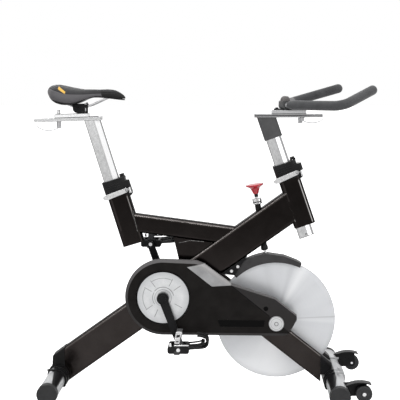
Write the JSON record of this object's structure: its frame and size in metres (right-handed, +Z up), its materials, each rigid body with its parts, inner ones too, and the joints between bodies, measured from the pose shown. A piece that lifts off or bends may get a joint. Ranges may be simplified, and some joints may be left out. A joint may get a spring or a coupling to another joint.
{
  "type": "exercise bike",
  "caption": "Indoor cycling bike with an exposed flywheel, belt drive, sliding saddle and handlebar, toe-clip pedals and transport wheels.",
  "frame": {"origin": "on the floor under the middle of the bike's overall box", "axes": "+X the way the rider faces, +Y to the rider's left, +Z up; the drive is on the rider's right"},
  "size_m": [1.186, 0.54, 1.0792],
  "materials": {
    "frame_paint": "gloss",
    "satin_tube": "satin",
    "post_metal": "satin",
    "bracket_black": "satin",
    "cap_plastic": "matte",
    "black_plastic": "satin",
    "bright_steel": "polished",
    "plain_steel": "brushed",
    "flywheel_steel": "brushed",
    "cover_plastic": "satin",
    "silver_plastic": "satin",
    "belt_rubber": "matte",
    "tread_rubber": "matte",
    "foam": "matte",
    "saddle_cover": "satin",
    "knob_red": "gloss",
    "felt": "matte"
  },
  "bodies": {
    "frame": {"main_beam": "frame_paint", "seat_tube": "frame_paint", "head_tube": "frame_paint", "top_tube": "frame_paint", "bottom_bracket": "plain_steel", "front_legs": "frame_paint", "foot_tubes": "satin_tube", "foot_brackets": "bracket_black", "end_caps": "cap_plastic", "levelling_feet": "tread_rubber", "wheel_brackets": "bracket_black", "post_collars": "black_plastic", "post_bushings": "black_plastic", "frame_bolts": "bright_steel", "brake_guide": "bracket_black", "flywheel_guard": "cap_plastic", "guard_bracket": "bracket_black", "drive_cover": "cover_plastic", "drive_cover_back": "cover_plastic", "cover_trim": "silver_plastic", "hub_cap": "silver_plastic", "drive_belt": "belt_rubber"},
    "crank_set": {"crank_axle": "bracket_black", "crank_arm_right": "bracket_black", "crank_arm_left": "bracket_black", "drive_pulley": "plain_steel", "crank_disc": "silver_plastic", "pedal_spindles": "bright_steel"},
    "right_pedal": {"pedal_right": "black_plastic", "toe_cage_right": "black_plastic"},
    "left_pedal": {"pedal_left": "black_plastic", "toe_cage_left": "black_plastic"},
    "flywheel_set": {"flywheel": "flywheel_steel", "flywheel_axle": "plain_steel"},
    "brake_plunger": {"brake_rod": "bright_steel", "brake_pad": "felt"},
    "knob": {"brake_knob": "knob_red"},
    "seat_mast": {"seat_post": "post_metal", "seat_rail": "post_metal"},
    "seat_carriage": {"seat_slider": "post_metal", "saddle_knuckle": "bracket_black"},
    "seat_lock": {"seat_slide_lever": "bright_steel"},
    "saddle": {"saddle_clamp": "bracket_black", "saddle_rails": "bright_steel", "saddle_base": "black_plastic", "saddle_pad": "saddle_cover"},
    "bar_mast": {"handlebar_post": "post_metal", "post_sleeve": "cap_plastic", "handlebar_rail": "post_metal"},
    "bar_carriage": {"bar_slider": "post_metal", "bar_bracket": "bracket_black"},
    "bar_lock": {"bar_slide_lever": "bright_steel"},
    "bar": {"stem_clamp": "bracket_black", "stem_cap": "cap_plastic", "handlebar": "plain_steel", "handlebar_foam": "foam"},
    "seat_cam": {"seat_quick_lever": "bright_steel"},
    "head_cam": {"head_quick_lever": "bright_steel"},
    "right_wheel": {"wheel_right": "tread_rubber"},
    "left_wheel": {"wheel_left": "tread_rubber"}
  },
  "joints": [
    {"name": "flywheel_turn", "type": "hinge", "parent": "frame", "child": "flywheel_set", "pos_m": [0.25497, 0, 0.249], "axis": [0, 1, 0], "continuous": true},
    {"name": "crank_turn", "type": "hinge", "parent": "frame", "child": "crank_set", "pos_m": [-0.13953, 0, 0.3385], "axis": [0, 1, 0], "continuous": true},
    {"name": "right_pedal_turn", "type": "hinge", "parent": "crank_set", "child": "right_pedal", "pos_m": [-0.08167, -0.15, 0.17865], "axis": [0, 1, 0], "continuous": true},
    {"name": "left_pedal_turn", "type": "hinge", "parent": "crank_set", "child": "left_pedal", "pos_m": [-0.1974, 0.15, 0.49835], "axis": [0, 1, 0], "continuous": true},
    {"name": "brake_press", "type": "slide", "parent": "frame", "child": "brake_plunger", "axis": [0.1595, 0, -0.9872], "range_m": [0, 0.0024], "stiffness_N_per_m": 3000, "springref_m": -0.006},
    {"name": "knob_turn", "type": "hinge", "parent": "brake_plunger", "child": "knob", "pos_m": [0.17743, 0, 0.72877], "axis": [-0.1595, 0, 0.9872], "range_deg": [0, 270]},
    {"name": "seat_height", "type": "slide", "parent": "frame", "child": "seat_mast", "axis": [-0.2974, 0, 0.9548], "range_m": [-0.12, 0.06]},
    {"name": "seat_reach", "type": "slide", "parent": "seat_mast", "child": "seat_carriage", "axis": [0.9993, 0, 0.0366], "range_m": [-0.06, 0.04]},
    {"name": "seat_lock_turn", "type": "hinge", "parent": "seat_carriage", "child": "seat_lock", "pos_m": [-0.50961, 0, 0.94772], "axis": [-0.0366, 0, 0.9993], "range_deg": [0, 90]},
    {"name": "saddle_tilt", "type": "hinge", "parent": "seat_carriage", "child": "saddle", "pos_m": [-0.43013, 0, 0.987], "axis": [0, 1, 0], "range_deg": [-10, 10]},
    {"name": "bar_height", "type": "slide", "parent": "frame", "child": "bar_mast", "axis": [-0.3272, 0, 0.9449], "range_m": [-0.05, 0.1]},
    {"name": "bar_reach", "type": "slide", "parent": "bar_mast", "child": "bar_carriage", "axis": [1, 0, 0.0052], "range_m": [-0.055, 0.05]},
    {"name": "bar_lock_turn", "type": "hinge", "parent": "bar_carriage", "child": "bar_lock", "pos_m": [0.34136, 0, 0.96325], "axis": [-0.0052, 0, 1], "range_deg": [0, 90]},
    {"name": "bar_swivel", "type": "hinge", "parent": "bar_carriage", "child": "bar", "pos_m": [0.28337, 0, 1.006], "axis": [-0.0052, 0, 1], "range_deg": [-25, 10]},
    {"name": "seat_cam_swing", "type": "hinge", "parent": "frame", "child": "seat_cam", "pos_m": [-0.27195, -0.0285, 0.75093], "axis": [-0.2974, 0, 0.9548], "range_deg": [0, 110]},
    {"name": "head_cam_swing", "type": "hinge", "parent": "frame", "child": "head_cam", "pos_m": [0.32601, -0.0285, 0.8123], "axis": [-0.3272, 0, 0.9449], "range_deg": [0, 110]},
    {"name": "right_wheel_turn", "type": "hinge", "parent": "frame", "child": "right_wheel", "pos_m": [0.54837, -0.2, 0.0385], "axis": [0, 1, 0], "continuous": true},
    {"name": "left_wheel_turn", "type": "hinge", "parent": "frame", "child": "left_wheel", "pos_m": [0.54837, 0.2, 0.0385], "axis": [0, 1, 0], "continuous": true}
  ],
  "couplings": [
    {"joint": "crank_turn", "follows": "flywheel_turn", "ratio": 0.32143}
  ]
}
